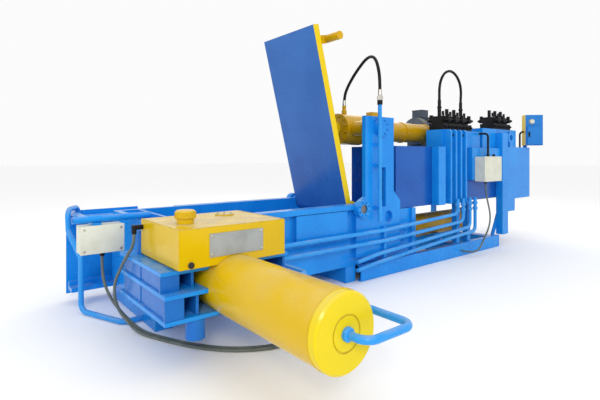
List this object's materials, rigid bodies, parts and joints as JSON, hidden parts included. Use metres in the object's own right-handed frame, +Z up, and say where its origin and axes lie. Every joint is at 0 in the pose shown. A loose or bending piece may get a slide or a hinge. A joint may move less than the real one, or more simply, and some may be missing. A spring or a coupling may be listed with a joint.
{
  "type": "recycling baler",
  "caption": "Hydraulic three-way scrap baling press with an open hopper, hinged ribbed lid, side cylinder, exit gate and tank-mounted power pack.",
  "frame": {"origin": "centre of the rectangle of floor anchor holes in the base channels, at floor level", "axes": "+X along the hopper towards the power pack, +Y away from the side cylinder, +Z up"},
  "size_m": [5.6983, 2.61, 2.204],
  "materials": {
    "blue_paint": "gloss enamel",
    "yellow_paint": "gloss enamel",
    "piston_rod": "polished",
    "pipe_paint": "gloss enamel",
    "cream_plastic": "satin",
    "black_rubber": "smooth",
    "grey_cable": "smooth",
    "black_metal": "satin",
    "plated_steel": "zinc plated"
  },
  "bodies": {
    "machine": {"base_beams": "blue_paint", "bearing_rings": "blue_paint", "blank_plate": "plated_steel", "cable_glands": "black_metal", "control_box": "blue_paint", "cross_members": "blue_paint", "crosshead": "blue_paint", "far_post": "blue_paint", "far_wall": "blue_paint", "floor_plate": "blue_paint", "gate_barrel": "blue_paint", "gate_guides": "blue_paint", "gate_housing": "blue_paint", "hose_fittings": "plated_steel", "left_box": "cream_plastic", "left_cable": "grey_cable", "left_end_block": "blue_paint", "lid_hose": "black_rubber", "motor": "blue_paint", "motor_deck": "blue_paint", "near_post": "blue_paint", "near_wall": "blue_paint", "oil_tank": "blue_paint", "pipe_clamps": "blue_paint", "prefill_tank": "yellow_paint", "press_barrel": "yellow_paint", "pressure_pipe": "pipe_paint", "pump": "blue_paint", "right_box": "cream_plastic", "right_cable": "grey_cable", "side_barrel": "yellow_paint", "side_cap": "blue_paint", "side_plates": "blue_paint", "side_webs": "blue_paint", "tank_cable": "grey_cable", "tank_fittings": "yellow_paint", "tank_panels": "blue_paint", "tank_post": "blue_paint", "tank_ribs": "blue_paint", "tank_supports": "blue_paint", "valve_hose": "black_rubber", "valve_plinths": "blue_paint", "valves_left": "black_metal", "valves_right": "black_metal", "wall_pipes": "pipe_paint"},
    "lid": {"lid_plate": "blue_paint", "lid_ribs": "blue_paint", "lid_lugs": "yellow_paint", "hinge_shaft": "blue_paint"},
    "lid_cylinder": {"lid_barrel": "yellow_paint"},
    "lid_piston": {"lid_rod": "piston_rod"},
    "press": {"press_ram": "blue_paint", "press_rod": "piston_rod"},
    "side": {"side_ram": "blue_paint", "side_rod": "piston_rod"},
    "exit_gate": {"gate": "blue_paint", "gate_rod": "piston_rod"},
    "cabinet_door": {"control_door": "blue_paint"},
    "stop_button": {"button": "cream_plastic"},
    "filler": {"filler_cap": "yellow_paint"}
  },
  "joints": [
    {"name": "lid_hinge", "type": "hinge", "parent": "machine", "child": "lid", "pos_m": [-0.702, 0, 0.64], "axis": [0, -1, 0], "range_deg": [0, 75.8]},
    {"name": "lid_cylinder_trunnion", "type": "hinge", "parent": "machine", "child": "lid_cylinder", "pos_m": [-0.4306, 0, 1.3647], "axis": [0, -1, 0], "range_deg": [0, 26.6], "deforming": ["lid_hose"]},
    {"name": "lid_rod_slide", "type": "slide", "parent": "lid_cylinder", "child": "lid_piston", "axis": [-1, 0, 0], "range_m": [0, 0.87]},
    {"name": "press_ram_slide", "type": "slide", "parent": "machine", "child": "press", "axis": [-1, 0, 0], "range_m": [0, 1.375]},
    {"name": "side_ram_slide", "type": "slide", "parent": "machine", "child": "side", "axis": [0, 1, 0], "range_m": [0, 0.738]},
    {"name": "gate_slide", "type": "slide", "parent": "machine", "child": "exit_gate", "axis": [-1, 0, 0], "range_m": [0, 0.42]},
    {"name": "control_door_hinge", "type": "hinge", "parent": "machine", "child": "cabinet_door", "pos_m": [2.67493, -0.59949, 1.45], "axis": [0, 0, 1], "range_deg": [0, 110]},
    {"name": "stop_button_press", "type": "slide", "parent": "machine", "child": "stop_button", "axis": [0.7071, 0.7071, 0], "range_m": [0, 0.006], "stiffness_N_per_m": 800, "springref_m": -0.001},
    {"name": "filler_cap_turn", "type": "hinge", "parent": "machine", "child": "filler", "pos_m": [-2.4728, -0.8041, 0.722], "axis": [0, 0, 1], "continuous": true}
  ],
  "couplings": [
    {"joint": "lid_cylinder_trunnion", "follows": "lid_hinge", "ratio": 0.35013},
    {"joint": "lid_rod_slide", "follows": "lid_hinge", "m_per_rad": 0.65686}
  ]
}
